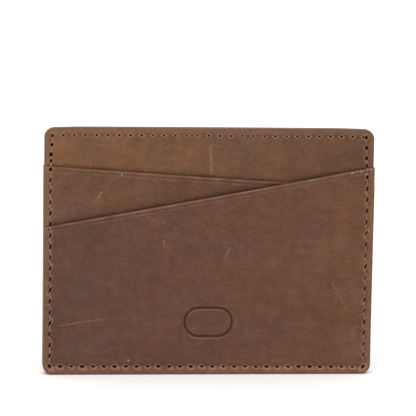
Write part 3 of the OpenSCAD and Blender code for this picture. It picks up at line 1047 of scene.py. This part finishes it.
def thread_material(name, dark, light):
    """Waxed twisted thread with fine fibres, a little darker to the right."""
    material, tree, where = new_material(name)
    fibres = noise(tree, where, 0.12, 2)
    worn = noise(tree, where, 3, 2)
    tone = math_node(tree, "MULTIPLY", worn, 0.5)
    tone = math_node(tree, "MULTIPLY_ADD", fibres, 0.6, tone)
    tone = math_node(tree, "MULTIPLY_ADD", along_x(tree, where), -0.14, tone)
    tone = math_node(tree, "SUBTRACT", tone, 0.08, clamp=True)
    colour = mixed(tree, tone, dark, light)
    # Painted highlight at the stitches' ends
    colour = mixed(tree, attribute(tree, "pale"), colour, THREAD_HIGHLIGHT)
    return coated(material, with_painted_shade(tree, colour), 0.6, 0.1, [(fibres, 0.5, 0.03)])


def lining_cloth():
    """Plain woven cloth: two sets of yarns that go over and under."""
    material, tree, where = new_material("Woven lining")
    yarns = {"Vector": where, "Scale": 1 / (3.2 * MM), "Distortion": 0.5}
    warp, weft = (add(tree, "TexWave", yarns, bands_direction=axis) for axis in "XZ")
    weave = math_node(tree, "MULTIPLY", warp, weft)
    colour = mixed(tree, weave, srgb(58, 46, 40), srgb(104, 84, 70))
    dust = spread(tree, noise(tree, where, 9, 3), 0.3, 0.7, 0, 0.35)
    colour = mixed(tree, dust, colour, srgb(70, 58, 52))
    return coated(material, colour, 0.9, 0.15, [(weave, 0.6, 0.08)])


def tape_material():
    """Cream tissue tape with faint fibres."""
    material, tree, where = new_material("Tissue tape")
    fibres = noise(tree, stretched(tree, where, (1, 1, 0.2)), 0.5, 4)
    colour = mixed(tree, fibres, srgb(214, 204, 180), srgb(240, 234, 216))
    return coated(material, colour, 0.7, 0.5, [(fibres, 0.3, 0.02)])


# ---- the pieces ----

BODY_LEATHER = leather(
    "Body leather", srgb(76, 50, 36), srgb(99, 68, 49), srgb(122, 88, 66), srgb(148, 114, 90),
    fall=0.08, warmth=-0.12, scratches=[(0.2, 65.1, 1.62, 11, 0.7, 0.5)])
UPPER_LEATHER = leather(
    "Upper pocket leather", srgb(67, 44, 33), srgb(89, 60, 44), srgb(112, 79, 60),
    srgb(143, 107, 84), fall=0.09,
    scratches=[(-33.3, 54.5, 1, 3, 0.7, 0.55), (-16.5, 58.8, 2.4, 2.5, 0.5, 0.3)])
LOWER_LEATHER = leather(
    "Lower pocket leather", srgb(65, 44, 37), srgb(88, 61, 49), srgb(111, 80, 65),
    srgb(141, 106, 85), fall=-0.03, hue=0.66, warmth=0.24,
    scratches=[
        (-38.0, 16.1, 0.15, 17, 0.4, 0.5), (-13.8, 40.1, 1.75, 2.4, 0.5, 0.5),
        (5.5, 37.2, 1.1, 4.4, 0.5, 0.35), (39.8, 24.3, 2.08, 11, 0.4, 0.35),
        (44.6, 12.8, 1.35, 6, 1.8, 0.18),
    ])
EDGE_PAINT = edge_paint()
SEAM_THREAD = thread_material("Seam thread", srgb(96, 74, 61), srgb(146, 122, 104))
ROW_THREAD = thread_material("Top row thread", srgb(84, 60, 46), srgb(126, 98, 78))
LINING_CLOTH = lining_cloth()
TAPE = tape_material()

SLOTS = {"body_panel": "body_leather", "upper_pocket": "pocket_leather",
         "lower_pocket": "pocket_leather", "lining": "lining"}


def finished(piece, slot, *nodes):
    """Attaches a piece to the root body and hides the CAD nodes that it stands for."""
    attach(piece, "root")
    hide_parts(*nodes)
    return piece


def flat_area(sheet):
    """Area of the cut sheet in square metres."""
    height = np.mean(sheet.top(np.array([-SIDE, SIDE]))) - LEATHER_BOTTOM
    corners = 4 if not sheet.mouth else 2
    return (2 * SIDE * height - corners * (1 - math.pi / 4) * CORNER_R ** 2) * MM ** 2


def make_sheet(sheet, material):
    """A sheet's piece, attached to the root body in place of its CAD node."""
    piece = finished(sheet_object(sheet, material), SLOTS[sheet.kind], sheet.node)
    height = max(sheet.top(np.array([-SIDE, SIDE]))) - LEATHER_BOTTOM
    flat_area(sheet)
    return piece


def make_half(half):
    """The sheets, top row and top edge of one half; returns its outer surface."""
    prefix = "front_" if half == FRONT else "back_"
    lining = Sheet("lining", half, LINING_D)
    body = Sheet("body_panel", half, BODY_D, cover=[UPPER_MOUTH, LOWER_MOUTH])
    upper = Sheet("upper_pocket", half, UPPER_D, mouth=UPPER_MOUTH, cover=[LOWER_MOUTH])
    lower = Sheet("lower_pocket", half, LOWER_D, mouth=LOWER_MOUTH)
    cloth = make_sheet(lining, LINING_CLOTH)
    backing = make_sheet(body, BODY_LEATHER)
    pocket = make_sheet(upper, UPPER_LEATHER)
    make_sheet(lower, LOWER_LEATHER)

    def outermost(x, z):
        surface = body.outer_d + body.lift(x, z)
        for sheet in (upper, lower):
            there = z < sheet.top(x)
            surface = np.where(there, sheet.outer_d + sheet.lift(x, z), surface)
        return surface

    def cloth_side(x, z):
        return LINING_D[0] + lining.lift(x, z)

    runs = [(top_pricks()[:, :2].tolist(), TOP_STITCHES)]
    thread = thread_object(prefix + "top_needle_stitches", runs, half,
                           lambda x, z: body.outer_d + body.lift(x, z), ROW_THREAD)
    finished(thread, "thread", prefix + "top_needle_thread")
    thread = thread_object(prefix + "top_bobbin_stitches", runs, half,
                           lambda x, z: -cloth_side(x, z), ROW_THREAD)
    for vertex in thread.data.vertices:
        vertex.co.y = -vertex.co.y
    thread.data.flip_normals()
    finished(thread, "thread", prefix + "top_bobbin_thread")
    coat = top_coat_object(prefix + "top_edge_paint", half, body, EDGE_PAINT)
    finished(coat, "edge_paint", prefix + "top_edge_coat")
    return outermost


def make_seam():
    """The seam's two threads and the paint over its edges."""
    for half, name in ((FRONT, "seam_needle"), (BACK, "seam_bobbin")):
        thread = thread_object(name + "_stitches", seam_runs(half), half, SURFACES[half],
                               SEAM_THREAD)
        finished(thread, "thread", name + "_thread")
    coat = seam_coat_object(EDGE_PAINT)
    finished(coat, "edge_paint", "left_edge_coat", "right_edge_coat", "bottom_edge_coat")


def dress_hidden_nodes():
    """Materials of the CAD nodes that stay: the tape and the hidden rows of stitches."""
    for name, node in frame["nodes"].items():
        if "tape" in name or "card_stop" in name:
            node.data.materials.clear()
            node.data.materials.append(TAPE if "tape" in name else ROW_THREAD)


SURFACES = {half: make_half(half) for half in (FRONT, BACK)}
make_seam()
dress_hidden_nodes()

# ---- studio ----


def make_floor():
    """A large pale floor, 8 m to each side."""
    size = 8
    mesh = bpy.data.meshes.new("floor")
    mesh.from_pydata([(-size, -size, 0), (size, -size, 0), (size, size, 0), (-size, size, 0)],
                     [], [(0, 1, 2, 3)])
    material, tree, where = new_material("Pale floor")
    patches = noise(tree, where, 60, 2)
    colour = mixed(tree, patches, (0.93, 0.925, 0.915, 1), (0.95, 0.945, 0.94, 1))
    mesh.materials.append(coated(material, colour, 1, 0, []))
    floor = bpy.data.objects.new("floor", mesh)
    bpy.context.scene.collection.objects.link(floor)


def make_lights():
    """A bright even room and one large soft light above and in front."""
    world_light = bpy.data.worlds.new("Studio")
    bpy.context.scene.world = world_light
    world_light.use_nodes = True
    background = world_light.node_tree.nodes["Background"]
    background.inputs["Color"].default_value = (1, 0.995, 0.985, 1)
    background.inputs["Strength"].default_value = 0.98
    sun = bpy.data.lights.new("Softbox", "SUN")
    sun.energy = 1.25
    sun.angle = math.radians(35)
    lamp = bpy.data.objects.new("Softbox", sun)
    lamp.rotation_euler = (math.radians(33), 0, math.radians(-12))
    bpy.context.scene.collection.objects.link(lamp)


def make_camera():
    """A long lens, a little to the left of the wallet and above it, rolled slightly."""
    azimuth, elevation, roll = (math.radians(angle) for angle in (-6.17, 6.96, 0.94))
    distance, aim_x, aim_z = 0.8316, -0.00032, 0.05055
    camera = bpy.data.cameras.new("Camera")
    camera.lens = 238.06
    camera.sensor_width = 36
    camera.clip_end = 30
    eye = bpy.data.objects.new("Camera", camera)
    back = (math.sin(azimuth) * math.cos(elevation), -math.cos(azimuth) * math.cos(elevation),
            math.sin(elevation))
    eye.location = [distance * part for part in back]
    eye.location.x += aim_x
    eye.location.z += aim_z
    eye.rotation_mode = "XYZ"
    eye.rotation_euler = (math.pi / 2 - elevation, 0, azimuth)
    eye.rotation_euler.rotate_axis("Z", roll)
    bpy.context.scene.collection.objects.link(eye)
    bpy.context.scene.camera = eye


make_floor()
make_lights()
make_camera()
bpy.context.scene.view_settings.view_transform = "Standard"
